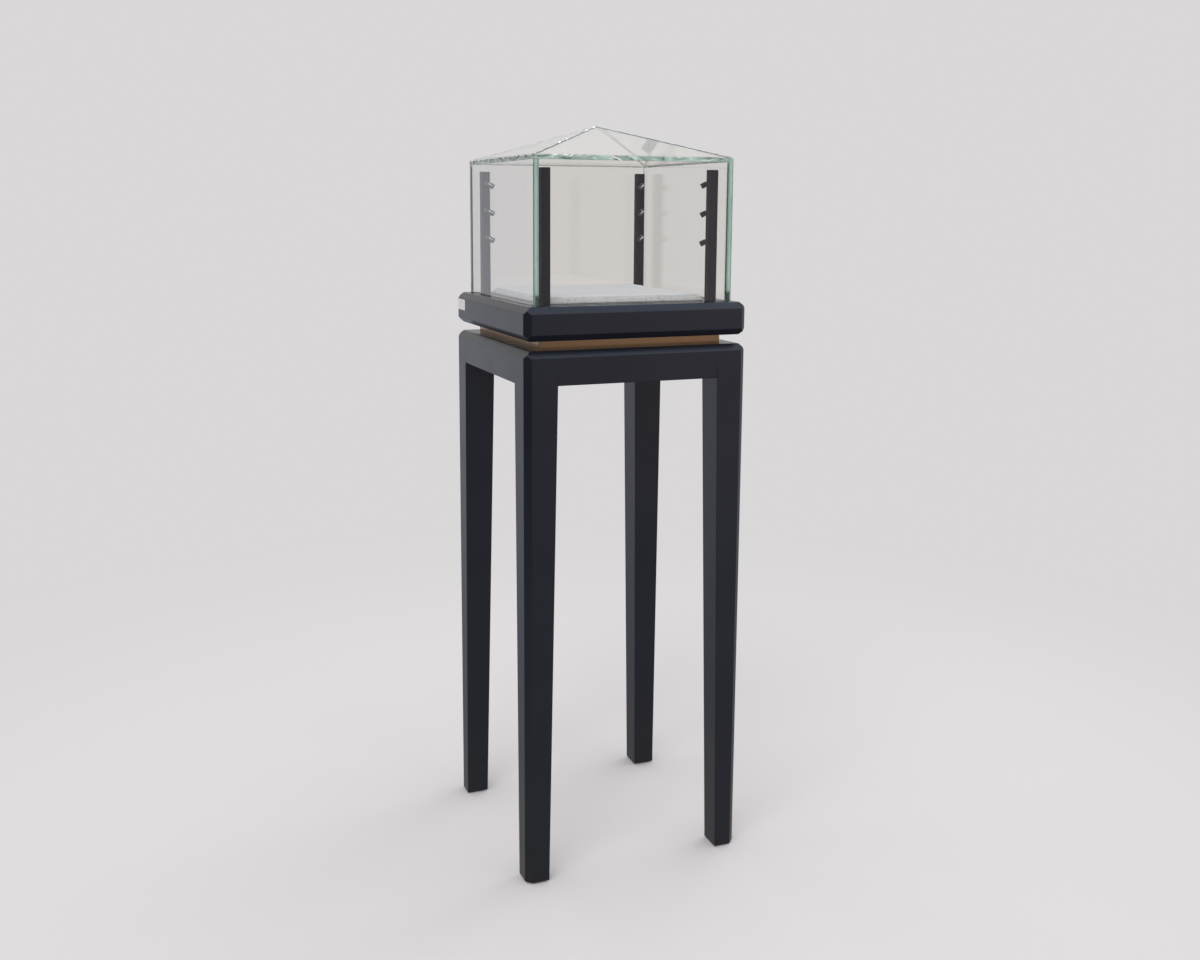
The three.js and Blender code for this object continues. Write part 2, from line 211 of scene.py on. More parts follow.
def anodised(name, base, rough, stretch=(900, 900, 12), metal=0.35, spec=0.5):
    t = Tree(name)
    grain = t.noise(1.0, 4.0, 0.6, stretch=stretch)
    spot = t.noise(38.0, 3.0, 0.55)
    dark = tuple(x * 0.75 for x in base)
    c = t.mix(t.spread(spot, 0.0, 1.0, 0.35, 0.7), dark, base)
    r = t.math("ADD", t.spread(grain, rough - 0.06, rough + 0.08, 0.25, 0.75), t.spread(spot, -0.02, 0.03))
    n = t.bump(grain, 0.3, 0.00002)
    return t.out(t.principled(color=c, metal=metal, rough=r, ior=1.45, normal=n, spec=spec))


def steel(name="steel_turned", metal=1.0):
    t = Tree(name)
    g = t.noise(2600.0, 2.0, 0.5)
    return t.out(t.principled(color=t.ramp(g, [(0.2, (0.80, 0.80, 0.81)), (0.8, (0.95, 0.95, 0.96))]), metal=metal,
                              rough=t.spread(g, 0.16, 0.32), normal=t.bump(g, 0.1, 0.00002)))


GLASS_VOLUME = dict(color=(0.28, 0.62, 0.50, 1.0), density=2.9)


def glass(name, rough=0.0, bond=False, wavy=0.0, frosted=False, milky=None, tint=(0.54, 0.74, 0.64)):
    """Float glass: refraction, with the green that only long paths pick up. Lamps and bounced light pass straight."""
    t = Tree(name)
    lp = t.add("ShaderNodeLightPath")
    through = t.math("MAXIMUM", lp.outputs["Is Shadow Ray"], lp.outputs["Is Diffuse Ray"])
    clear = t.add("ShaderNodeBsdfTransparent")
    clear.inputs[0].default_value = (0.93, 0.94, 0.93, 1.0)
    vol = t.add("ShaderNodeVolumeAbsorption")
    vol.inputs["Color"].default_value = GLASS_VOLUME["color"]
    vol.inputs["Density"].default_value = GLASS_VOLUME["density"]
    if bond:
        solid = t.add("ShaderNodeBsdfTransparent")
        solid.inputs[0].default_value = (0.985, 0.99, 0.985, 1.0)
        return t.out(solid.outputs[0], vol.outputs[0])
    normal = None
    r = rough
    if wavy:
        w = t.noise(70.0, 3.0, 0.55, stretch=(1, 1, 1.6), distortion=1.2)
        chips = t.noise(260.0, 2.0, 0.5)
        normal = t.bump(w, 1.0, wavy)
        normal = t.bump(chips, 0.5, wavy * 0.12, normal)
        r = t.spread(chips, rough, rough + 0.10, 0.45, 0.8)
    elif frosted:
        g = t.noise(900.0, 2.0, 0.5)
        normal = t.bump(g, 0.4, 0.0001)
        r = t.spread(g, rough, rough + 0.15)
    else:
        w = t.noise(9.0, 1.0, 0.4)
        normal = t.bump(w, 0.35, 0.0002)
    p = t.principled(color=(0.990, 0.972, 0.950), rough=r, ior=1.5, transmission=1.0, normal=normal)
    if milky:
        # a cut edge scatters some light: pale green, with random paler and darker patches, white spots that are painted
        # glints, and a darker foot painted as shade where it enters the groove
        polished = name == "glass_cut_edge"
        patch = t.noise(30.0, 3.0, 0.55, stretch=(2.0, 2.0, 0.25) if polished else (0.75, 0.75, 2.6), distortion=0.3 if polished else 1.4)
        painted_glint = t.noise(46.0, 3.0, 0.5, stretch=(1, 1, 2.2), distortion=1.8)
        low, high = (0.86, 1.08) if polished else (0.36, 1.25)
        tone = t.ramp(patch, [(0.34, tuple(x * low for x in tint)), (0.43, tuple(x * (low + 1.2) / 2 for x in tint)), (0.55, tint),
                              (0.66, tuple(min(1.0, x * high) for x in tint))])
        tone = t.mix(t.spread(painted_glint, 0.0, 1.0, 0.66 if polished else 0.595, 0.70 if polished else 0.635), tone, (0.97, 1.0, 0.99))
        sep = t.add("ShaderNodeSeparateXYZ")
        t.put(sep.inputs[0], t.coords())
        above_foot = t.spread(sep.outputs[2], 0.0, 1.0, 1.1285, 1.1345)
        if polished:
            # painted by place at the corners: the outer arris is a darker green, and the inner side a painted grey
            # standing for what is seen behind it
            across = t.math("ABSOLUTE", sep.outputs[0])
            front = t.math("GREATER_THAN", t.math("ABSOLUTE", sep.outputs[1]), 0.2003)
            tone = t.mix(t.math("MULTIPLY", front, t.spread(across, 0.75, 0.0, 0.1930, 0.1942)), tone, (0.43, 0.43, 0.50))
            tone = t.mix(t.math("MULTIPLY", front, t.spread(across, 0.0, 0.8, 0.1984, 0.1992)), tone, (0.22, 0.36, 0.29))
            above_foot = t.math("MAXIMUM", above_foot, t.spread(across, 0.0, 0.8, 0.1972, 0.1980))
        # painted shade: the foot of the cut edge, where it enters the groove, is darkened
        tone = t.mix(above_foot, (0.050, 0.068, 0.060), tone)
        d = t.add("ShaderNodeBsdfDiffuse")
        t.put(d.inputs[0], tone)
        amount = t.math("MULTIPLY", t.spread(patch, milky - 0.08, milky + 0.10, 0.3, 0.7), t.spread(above_foot, 1.3, 1.0))
        e = t.add("ShaderNodeMixShader")
        t.put(e.inputs[0], amount)
        t.put(e.inputs[1], p)
        t.put(e.inputs[2], d.outputs[0])
        p = e.outputs[0]
    m = t.add("ShaderNodeMixShader")
    t.put(m.inputs[0], through)
    t.put(m.inputs[1], p)
    t.put(m.inputs[2], clear.outputs[0])
    return t.out(m.outputs[0], vol.outputs[0])


def chip(name, metal):
    """White for the flakes put where glints show: a painted glint, with a hard sparkle."""
    t = Tree(name)
    grain = t.noise(700.0, 2.0, 0.5)
    c = t.ramp(grain, [(0.30, (0.92, 0.96, 0.95)), (0.5, (1.0, 1.0, 1.0))])
    p = t.principled(color=c, rough=t.spread(grain, 0.12, 0.28), metal=metal, normal=t.bump(grain, 0.5, 0.0002))
    return t.out(p)


def bead():
    """Clear resin over a cut edge: mostly clear, broken by white patches that are painted glints."""
    t = Tree("hip_bead")
    patch = t.noise(52.0, 2.0, 0.5, distortion=0.6)
    chips = t.noise(420.0, 2.0, 0.5)
    c = t.ramp(patch, [(0.44, (0.54, 0.59, 0.59)), (0.50, (0.85, 0.90, 0.89)), (0.54, (1.0, 1.0, 1.0))])
    p = t.principled(color=c, rough=t.spread(chips, 0.10, 0.3), ior=1.45, normal=t.bump(chips, 0.6, 0.0003), spec=0.6)
    clear = t.add("ShaderNodeBsdfTransparent")
    clear.inputs[0].default_value = (0.93, 0.96, 0.95, 1.0)
    m = t.add("ShaderNodeMixShader")
    t.put(m.inputs[0], t.spread(patch, 0.35, 1.0, 0.44, 0.53))
    t.put(m.inputs[1], clear.outputs[0])
    t.put(m.inputs[2], p)
    return t.out(m.outputs[0])


def suede():
    t = Tree("suede")
    nap = t.noise(14.0, 5.0, 0.6, distortion=0.8)
    fibre = t.noise(2300.0, 3.0, 0.7)
    mid = t.noise(420.0, 3.0, 0.6)
    c = t.ramp(nap, [(0.25, (0.80, 0.795, 0.862)), (0.75, (0.88, 0.876, 0.935))])
    c = t.mix(t.spread(mid, 0.0, 0.35, 0.35, 0.75), c, (0.70, 0.700, 0.750))
    c = t.mix(t.spread(fibre, 0.0, 0.30, 0.4, 0.8), c, (0.80, 0.80, 0.84))
    geo = t.add("ShaderNodeNewGeometry")
    sep = t.add("ShaderNodeSeparateXYZ")
    t.put(sep.inputs[0], geo.outputs["Normal"])
    # painted shade: faces that slope away from up are darkened by their normal, in a wrinkled pattern; the same noise
    # also bumps them
    wrinkle_bump_and_shade = t.noise(160.0, 4.0, 0.65, stretch=(1, 1, 3), distortion=1.5)
    painted_slope_shade = t.ramp(wrinkle_bump_and_shade, [(0.36, (0.50, 0.494, 0.535)), (0.50, (0.70, 0.692, 0.73)), (0.64, (0.86, 0.852, 0.885))])
    c = t.mix(t.spread(sep.outputs[2], 1.0, 0.0, 0.80, 0.97), c, painted_slope_shade)
    # painted highlight: a pale line along the top edge of the pad's bevel
    pos = t.add("ShaderNodeSeparateXYZ")
    t.put(pos.inputs[0], t.coords())
    painted_edge_highlight = t.math("MULTIPLY", t.spread(pos.outputs[2], 0.0, 1.0, 1.12385, 1.12440), t.spread(sep.outputs[2], 1.0, 0.0, 0.93, 0.995))
    c = t.mix(t.math("MULTIPLY", painted_edge_highlight, 0.8), c, (0.95, 0.945, 0.985))
    n = t.bump(mid, 0.35, 0.0003)
    n = t.bump(fibre, 0.6, 0.00012, n)
    n = t.bump(wrinkle_bump_and_shade, t.spread(sep.outputs[2], 0.5, 0.08, 0.80, 0.97), 0.0006, n)
    return t.out(t.principled(color=c, rough=t.spread(nap, 0.85, 1.0), sheen=0.25, sheen_rough=0.5, normal=n, spec=0.2))


def plywood():
    t = Tree("birch_plywood")
    grain = t.noise(1.0, 6.0, 0.62, stretch=(9, 190, 190), distortion=0.5)
    face = t.ramp(grain, [(0.25, (0.40, 0.25, 0.13)), (0.5, (0.56, 0.38, 0.21)), (0.8, (0.66, 0.48, 0.29))])
    tc = t.add("ShaderNodeTexCoord")
    sep = t.add("ShaderNodeSeparateXYZ")
    t.put(sep.inputs[0], tc.outputs["Object"])
    plies = t.math("PINGPONG", t.math("MULTIPLY", sep.outputs[2], 1000.0 / 1.3), 1.0)
    edge = t.mix(t.spread(plies, 0.0, 1.0, 0.35, 0.65), (0.30, 0.17, 0.08), (0.60, 0.42, 0.25))
    nrm = t.add("ShaderNodeSeparateXYZ")
    geo = t.add("ShaderNodeNewGeometry")
    t.put(nrm.inputs[0], geo.outputs["Normal"])
    c = t.mix(t.math("GREATER_THAN", t.math("ABSOLUTE", nrm.outputs[2]), 0.5), edge, face)
    return t.out(t.principled(color=c, rough=t.spread(grain, 0.55, 0.75), normal=t.bump(grain, 0.3, 0.0002)))


def fibreboard():
    t = Tree("stained_fibreboard")
    f = t.noise(700.0, 5.0, 0.7)
    g = t.noise(22.0, 3.0, 0.5)
    c = t.ramp(f, [(0.3, (0.010, 0.010, 0.012)), (0.75, (0.028, 0.026, 0.026))])
    c = t.mix(t.spread(g, 0.0, 0.5, 0.4, 0.8), c, (0.016, 0.016, 0.019))
    return t.out(t.principled(color=c, rough=t.spread(f, 0.6, 0.85), normal=t.bump(f, 0.4, 0.0001)))


def moulded(name, base, rough, scale=900.0, gloss=0.5, depth=0.00006):
    t = Tree(name)
    g = t.noise(scale, 3.0, 0.55)
    dirt = t.noise(30.0, 4.0, 0.6)
    low = tuple(x * 0.82 for x in base)
    c = t.mix(t.spread(dirt, 0.0, 0.7, 0.4, 0.8), base, low)
    r = t.math("ADD", t.spread(g, rough - 0.05, rough + 0.07), t.spread(dirt, -0.02, 0.06))
    return t.out(t.principled(color=c, rough=r, normal=t.bump(g, 0.3, depth), spec=gloss))


def paper_label():
    t = Tree("blank_label")
    fib = t.noise(500.0, 4.0, 0.6)
    mottled = t.noise(60.0, 3.0, 0.5)
    c = t.ramp(fib, [(0.3, (0.70, 0.70, 0.70)), (0.7, (0.80, 0.80, 0.79))])
    c = t.mix(t.spread(mottled, 0.0, 0.5, 0.45, 0.8), c, (0.66, 0.655, 0.64))
    return t.out(t.principled(color=c, rough=t.spread(fib, 0.35, 0.5), normal=t.bump(fib, 0.2, 0.00003)))


def lens_material():
    t = Tree("lamp_lens")
    cells = t.add("ShaderNodeTexVoronoi")
    t.put(cells.inputs["Vector"], t.coords())
    cells.inputs["Scale"].default_value = 900.0
    c = t.ramp(cells.outputs["Distance"], [(0.0, (0.060, 0.058, 0.055)), (0.6, (0.016, 0.016, 0.018))])
    return t.out(t.principled(color=c, rough=0.12, coat=1.0, coat_rough=0.05,
                              normal=t.bump(cells.outputs["Distance"], 0.5, 0.0003)))


M = {
    "lacquer": lacquer(),
    "bronze": bronze(),
    "post": anodised("black_anodised", (0.0040, 0.0034, 0.0090), 0.48, metal=0.0, spec=0.06),
    "lamp": anodised("lamp_black", (0.0035, 0.0031, 0.0045), 0.20, stretch=(300, 300, 300), metal=0.0, spec=0.27),
    "steel": steel(),
    "nickel": steel("nickel_satin", 0.45),
    "glass": glass("float_glass"),
    "edge": glass("glass_cut_edge", rough=0.03, wavy=0.0011, milky=0.41, tint=(0.68, 0.98, 0.82)),
    "eave": glass("glass_eave", rough=0.03, wavy=0.0011, milky=0.72),
    "arris": glass("glass_arris", rough=0.28, frosted=True),
    "eave_side": glass("glass_eave_side", rough=0.05, wavy=0.0014, milky=0.42, tint=(0.62, 0.70, 0.66)),
    "hip": glass("glass_hip", rough=0.10, wavy=0.0006, milky=0.75, tint=(0.82, 0.90, 0.87)),
    "bond": glass("glass_bond", bond=True),
    "bead": bead(),
    "chip": chip("resin_glint_flake", 0.6),
    "glint_flake_soft": chip("edge_glint_flake", 0.12),
    "suede": suede(),
    "ply": plywood(),
    "mdf": fibreboard(),
    "driver": moulded("driver_case", (0.66, 0.66, 0.64), 0.45),
    "cable": moulded("cable_jacket", (0.012, 0.012, 0.013), 0.5, 1500),
    "rubber": moulded("black_rubber", (0.014, 0.014, 0.015), 0.7, 1200),
    "nylon": moulded("nylon_glide", (0.020, 0.020, 0.022), 0.5, 1100),
    "label": paper_label(),
    "lens": lens_material(),
}


# ---- mesh helpers --------------------------------------------------------------------
def from_node(node):
    """The node's own solid, its flat faces rejoined."""
    bm = bmesh.new()
    bm.from_mesh(frame["nodes"][node].data)
    bmesh.ops.remove_doubles(bm, verts=bm.verts, dist=3e-6)
    bmesh.ops.dissolve_limit(bm, angle_limit=math.radians(0.4), verts=bm.verts, edges=bm.edges)
    return bm


def hull(points):
    bm = bmesh.new()
    vs = [bm.verts.new(Vector(p) * MM) for p in points]
    out = bmesh.ops.convex_hull(bm, input=vs)
    bmesh.ops.delete(bm, geom=[v for v in bm.verts if not v.link_faces], context="VERTS")
    bmesh.ops.dissolve_limit(bm, angle_limit=math.radians(0.4), verts=bm.verts, edges=bm.edges)
    bmesh.ops.recalc_face_normals(bm, faces=bm.faces)
    return bm


def ease(bm, test, width, segments=3):
    """Rounds the edges that pass test; returns the new faces."""
    edges = [e for e in bm.edges if len(e.link_faces) == 2 and e.calc_face_angle(0) > math.radians(4) and test(e)]
    if not edges:
        return []
    r = bmesh.ops.bevel(bm, geom=edges, offset=width, offset_type="OFFSET", segments=segments, profile=0.5,
                        affect="EDGES", clamp_overlap=True, loop_slide=True)
    return r["faces"]


def finish_mesh(bm, name, mats, body, replaces=(), angle=35, weighted=True):
    bmesh.ops.recalc_face_normals(bm, faces=bm.faces)
    me = bpy.data.meshes.new(name)
    bm.to_mesh(me)
    bm.free()
    me.shade_smooth()
    me.set_sharp_from_angle(angle=math.radians(angle))
    ob = bpy.data.objects.new(name, me)
    scene.collection.objects.link(ob)
    for m in mats:
        me.materials.append(M[m])
    if weighted:
        w = ob.modifiers.new("weighted_normals", "WEIGHTED_NORMAL")
        w.keep_sharp = True
        w.weight = 80
    if replaces:
        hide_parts(*replaces)
    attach(ob, body)
    return ob


def lathe(bm, profile, segments=48, matrix=None, material=0):
    """A closed solid turned about Z from [radius, height] pairs in mm; radius 0 ends on the axis."""
    m = matrix or Matrix.Identity(4)
    rings = []
    for r, h in profile:
        if r < 1e-6:
            rings.append([bm.verts.new(m @ Vector((0, 0, h * MM)))])
        else:
            rings.append([bm.verts.new(m @ Vector((r * MM * math.cos(a), r * MM * math.sin(a), h * MM)))
                          for a in (2 * math.pi * i / segments for i in range(segments))])
    made = []
    closed = profile[0][0] > 1e-6
    pairs = list(zip(rings, rings[1:])) + ([(rings[-1], rings[0])] if closed else [])
    for a, b in pairs:
        for i in range(segments):
            j = (i + 1) % segments
            if len(a) == 1 and len(b) == 1:
                continue
            if len(a) == 1:
                f = bm.faces.new((a[0], b[i], b[j]))
            elif len(b) == 1:
                f = bm.faces.new((a[i], b[0], a[j]))
            else:
                f = bm.faces.new((a[i], b[i], b[j], a[j]))
            f.material_index = material
            made.append(f)
    return made


def rounded(profile, radius, steps=3):
    """Rounds a profile's inner corners by small arcs (quadratic), leaving its ends."""
    pts = [Vector(p) for p in profile]
    out = [pts[0]]
    for a, b, c in zip(pts, pts[1:], pts[2:]):
        d = min(radius, (a - b).length * 0.45, (c - b).length * 0.45)
        p, q = b + (a - b).normalized() * d, b + (c - b).normalized() * d
        for i in range(steps + 1):
            t = i / steps
            out.append(p * (1 - t) ** 2 + b * 2 * t * (1 - t) + q * t * t)
    out.append(pts[-1])
    return [(max(v.x, 0.0), v.y) for v in out]


def octagon(half, chamfer, z):
    a, b = half, half - chamfer
    return [(x, y, z) for x, y in ((a, b), (b, a), (-b, a), (-a, b), (-a, -b), (-b, -a), (b, -a), (a, -b))]


def square(half, z):
    return [(x * half, y * half, z) for x, y in ((1, 1), (-1, 1), (-1, -1), (1, -1))]


# ---- lacquered table frame --------------------------------------------------------------
def table_frame():
    for corner, (sx, sy) in CORNERS.items():
        bm = from_node(f"leg_{corner}")
        for v in bm.verts:
            if abs(v.co.z - 1.0117) < 2e-5:
                v.co.z = 1.012

        def test(e, sx=sx, sy=sy):
            a, b = (v.co for v in e.verts)
            hole = all((v.co.xy - Vector((sx * 0.202, sy * 0.202))).length < 0.005 for v in e.verts)
            if hole:
                return False
            outer = all(abs(p.x) + abs(p.y) > 0.4375 and abs(p.x) > 0.2125 and abs(p.y) > 0.2125 for p in (a, b))
            if min(a.z, b.z) > 0.9675:
                return outer and abs(a.z - b.z) > 0.01
            return True
        ease(bm, test, 0.0011)
        finish_mesh(bm, f"lacquered_leg_{corner}", ["lacquer"], "stand", [f"leg_{corner}"])
    for side in ("front", "back", "left", "right"):
        bm = from_node(f"apron_{side}")
        k = 0 if side in ("front", "back") else 1
        for v in bm.verts:
            if abs(abs(v.co[k]) - 0.1617) < 2e-5:
                v.co[k] = math.copysign(0.162, v.co[k])
            if abs(v.co.z - 1.0117) < 2e-5:
                v.co.z = 1.012
        ease(bm, lambda e: all(v.co.z < 0.9685 for v in e.verts) and abs(e.verts[0].co[k] - e.verts[1].co[k]) > 0.1, 0.0011)
        finish_mesh(bm, f"lacquered_apron_{side}", ["lacquer"], "stand", [f"apron_{side}"])
    bm = hull(octagon(225, 12, 1012) + octagon(225, 12, 1020) + square(219, 1026) + square(213, 1032))
    ease(bm, lambda e: max(v.co.z for v in e.verts) > 1.0125, 0.0011)
    finish_mesh(bm, "lacquered_frame_top", ["lacquer"], "stand", ["frame_top"])


# ---- case base ---------------------------------------------------------------------------
def boolean(target, tools):
    for tool in tools:
        m = target.modifiers.new("cut", "BOOLEAN")
        m.operation, m.solver, m.object = "DIFFERENCE", "EXACT", tool
    dg = bpy.context.evaluated_depsgraph_get()
    me = bpy.data.meshes.new_from_object(target.evaluated_get(dg))
    for tool in tools:
        bpy.data.objects.remove(tool)
    bpy.data.objects.remove(target)
    return me


def loose(bm, name):
    bmesh.ops.recalc_face_normals(bm, faces=bm.faces)
    me = bpy.data.meshes.new(name)
    bm.to_mesh(me)
    bm.free()
    ob = bpy.data.objects.new(name, me)
    scene.collection.objects.link(ob)
    return ob


def block_bm(x0, y0, z0, x1, y1, z1):
    return hull([(x, y, z) for x in (x0, x1) for y in (y0, y1) for z in (z0, z1)])


def case_base():
    bm = hull(square(213, 1049) + square(219, 1055) + octagon(225, 12, 1061) + octagon(225, 12, 1100)
              + square(219, 1106) + square(213, 1112))
    ease(bm, lambda e: True, 0.0016, 4)
    target = loose(bm, "shell_blank")
    tools = [loose(block_bm(-196, -196, 1040, 196, 196, 1098), "t0"),
             loose(block_bm(-140, -140, 1090, 140, 140, 1120), "t1"),
             loose(block_bm(-150.3, -150.3, 1106, 150.3, 150.3, 1121), "t2")]
    # the groove for the glass: four bars
    for q in range(4):
        b = block_bm(-201, -201, 1108, 201, -190, 1122)
        bmesh.ops.rotate(b, verts=b.verts, cent=(0, 0, 0), matrix=Matrix.Rotation(q * math.pi / 2, 3, "Z"))
        tools.append(loose(b, f"g{q}"))
    for corner, (sx, sy) in CORNERS.items():
        b = bmesh.new()
        lathe(b, [(0, 1095), (3, 1095), (3, 1114), (0, 1114)], 24, Matrix.Translation((sx * 0.173, sy * 0.173, 0)))
        tools.append(loose(b, "w" + corner))
    turn = Matrix.Translation((-0.150, 0, 1.078)) @ Matrix.Rotation(-math.pi / 2, 4, "X")
    b = bmesh.new()
    lathe(b, [(0, 190), (6, 190), (6, 222.7), (9.3, 222.7), (9.3, 227), (0, 227)], 48, turn)
    tools.append(loose(b, "grommet_hole"))
    me = boolean(target, tools)
    bm = bmesh.new()
    bm.from_mesh(me)
    bmesh.ops.remove_doubles(bm, verts=bm.verts, dist=2e-6)
    finish_mesh(bm, "lacquered_case_base", ["lacquer"], "stand", ["case_base_shell"])

    # the grommet, with a rounded flange and a soft inner lip
    bm = bmesh.new()
    lathe(bm, rounded([(3.6, 193.6), (7.4, 193.6), (7.4, 195.6), (5.75, 195.7), (5.7, 223.0), (9.0, 223.0), (9.0, 224.3),
                       (8.0, 224.95), (4.4, 224.95), (3.6, 224.2)], 0.5) + [], 48, turn)
    finish_mesh(bm, "rubber_grommet", ["rubber"], "stand", ["cord_grommet"])

    # the blank label, a thin plate with rounded corners on the left side
    r, pts = 2.6, []
    for cy, cz, a0 in ((209.4, 1096.4, 0), (164.6, 1096.4, 90), (164.6, 1079.6, 180), (209.4, 1079.6, 270)):
        pts += [(cy + r * math.cos(math.radians(a0 + a)), cz + r * math.sin(math.radians(a0 + a))) for a in range(0, 91, 15)]
    bm = bmesh.new()
    lo = [bm.verts.new((-0.22475, y * MM, z * MM)) for y, z in pts]
    hi = [bm.verts.new((-0.2252, y * MM, z * MM)) for y, z in pts]
    bm.faces.new(lo)
    top = bm.faces.new(list(reversed(hi)))
    for i in range(len(pts)):
        j = (i + 1) % len(pts)
        bm.faces.new((lo[i], hi[i], hi[j], lo[j]))
    rim = set(top.edges)
    ease(bm, lambda e: e in rim, 0.00012, 2)
    finish_mesh(bm, "plain_label", ["label"], "stand", ["blank_label"])


# ---- neck ----------------------------------------------------------------------------------
def neck():
    z0, z1 = 1.0321, 1.0489
    def loop(half, radius):
        pts = []
        c = half - radius
        for sx, sy, a0 in ((-1, 1, 90), (-1, -1, 180), (1, -1, 270), (1, 1, 0)):
            for i in range(7):
                a = math.radians(a0 + i * 15)
                pts.append((sx * c + radius * math.cos(a), sy * c + radius * math.sin(a)))
        return [(-0.4, half)] + pts + [(0.4, half)]
    outer, inner = loop(186.0, 1.6), loop(184.8, 0.4)
    bm = bmesh.new()
    rings = [[bm.verts.new((x * MM, y * MM, z)) for x, y in pts] for pts, z in
             ((outer, z0), (outer, z1), (inner, z1), (inner, z0))]
    n = len(outer)
    for a, b in zip(rings, rings[1:] + rings[:1]):
        for i in range(n - 1):
            bm.faces.new((a[i], b[i], b[i + 1], a[i + 1]))
    bm.faces.new([r[0] for r in rings])
    bm.faces.new([r[-1] for r in reversed(rings)])
    finish_mesh(bm, "bronze_neck_band", ["bronze"], "stand", ["neck_band"], angle=40)


# ---- deck pad: cloth over a firm board --------------------------------------------------------
def deck_pad():
    rings = [(i * 4.0, 1125.55) for i in range(36)]
    rings += [(143.0, 1125.55), (145.2, 1125.55), (146.8, 1125.54), (147.8, 1125.5), (148.5, 1125.38), (149.1, 1125.1), (149.8, 1124.6)]
    rings += [(149.8 + i * 1.5, 1124.6 - i * 1.4) for i in range(1, 7)]
    rings += [(159.7, 1115.45), (160.2, 1114.9), (160.45, 1114.3), (160.52, 1113.4), (160.6, 1112.3)]
    n = len(rings) - 1
    bm = bmesh.new()
    at = lambda i: math.copysign(rings[abs(i)][0], i) * MM
    grid = [[bm.verts.new((at(i), at(j), rings[max(abs(i), abs(j))][1] * MM)) for j in range(-n, n + 1)] for i in range(-n, n + 1)]
    for i in range(2 * n):
        for j in range(2 * n):
            bm.faces.new((grid[i][j], grid[i + 1][j], grid[i + 1][j + 1], grid[i][j + 1]))
    border = ([grid[i][0] for i in range(2 * n)] + [grid[2 * n][j] for j in range(2 * n)]
              + [grid[i][2 * n] for i in range(2 * n, 0, -1)] + [grid[0][j] for j in range(2 * n, 0, -1)])
    rim = [v.index for v in border]
    bm.verts.index_update()
    rim = [v.index for v in border]
    me = bpy.data.meshes.new("cloth_deck_pad")
    bm.to_mesh(me)
    bm.free()
    ob = bpy.data.objects.new("cloth_deck_pad", me)
    scene.collection.objects.link(ob)
    start = [v.co.copy() for v in me.vertices]
    pins = ob.vertex_groups.new(name="pins")
    pins.add([v.index for v in me.vertices if v.co.z < 1.1135], 1.0, "REPLACE")
    cl = ob.modifiers.new("cloth", "CLOTH")
    s = cl.settings
    s.quality, s.mass = 5, 0.2
    s.use_pressure, s.uniform_pressure_force = True, 2.0
    s.tension_stiffness = s.compression_stiffness = 40
    s.shear_stiffness, s.bending_stiffness = 20, 4
    s.vertex_group_mass = "pins"
    s.effector_weights.gravity = 0
    cl.collision_settings.use_collision = False
    for f in range(1, 11):
        scene.frame_set(f)
    dg = bpy.context.evaluated_depsgraph_get()
    moved = bpy.data.meshes.new_from_object(ob.evaluated_get(dg))
    ob.modifiers.clear()
    cap = 0.0007
    for v, p, q in zip(me.vertices, start, moved.vertices):
        d = q.co - p
        if d.length > cap:
            d *= cap / d.length
        v.co = p + d
    scene.frame_set(1)
    bm = bmesh.new()
    bm.from_mesh(me)
    bm.verts.ensure_lookup_table()
    bm.faces.new([bm.verts[i] for i in reversed(rim)])
    bpy.data.objects.remove(ob)
    top = 1.1260
    for v in bm.verts:
        x, y, z = v.co
        ax, ay = abs(x), abs(y)
        m = max(ax, ay)
        if z > 1.1140 and m > 0.1485:          # the mitre folds of the cloth at the four corners
            d = abs(ax - ay) / math.sqrt(2)
            fold = math.exp(-(d / 0.0016) ** 2) * 0.0007 * min(1.0, (m - 0.1485) / 0.004)
            v.co.x -= math.copysign(fold * 0.7, x)
            v.co.y -= math.copysign(fold * 0.7, y)
        if z > 1.1135:                         # a slight unevenness of the cloth
            v.co.z += 0.00016 * noise.noise(Vector((x * 22, y * 22, 3.1))) + 0.00005 * noise.noise(Vector((x * 90, y * 90, 7.7)))
        v.co.z = min(max(v.co.z, 1.1123), top)
        v.co.x = max(-0.161, min(0.161, v.co.x))
        v.co.y = max(-0.161, min(0.161, v.co.y))
    pad = finish_mesh(bm, "cloth_deck_pad", ["suede"], "deck", ["deck_pad"], angle=180, weighted=False)


# ---- light posts ---------------------------------------------------------------------------------
def posts():
    for corner, (sx, sy) in CORNERS.items():
        bm = from_node(f"light_post_{corner}")
        ease(bm, lambda e: all(v.co.z > 1.3605 for v in e.verts), 0.0005, 2)
        finish_mesh(bm, f"anodised_post_{corner}", ["post"], "stand", [f"light_post_{corner}"], angle=25)


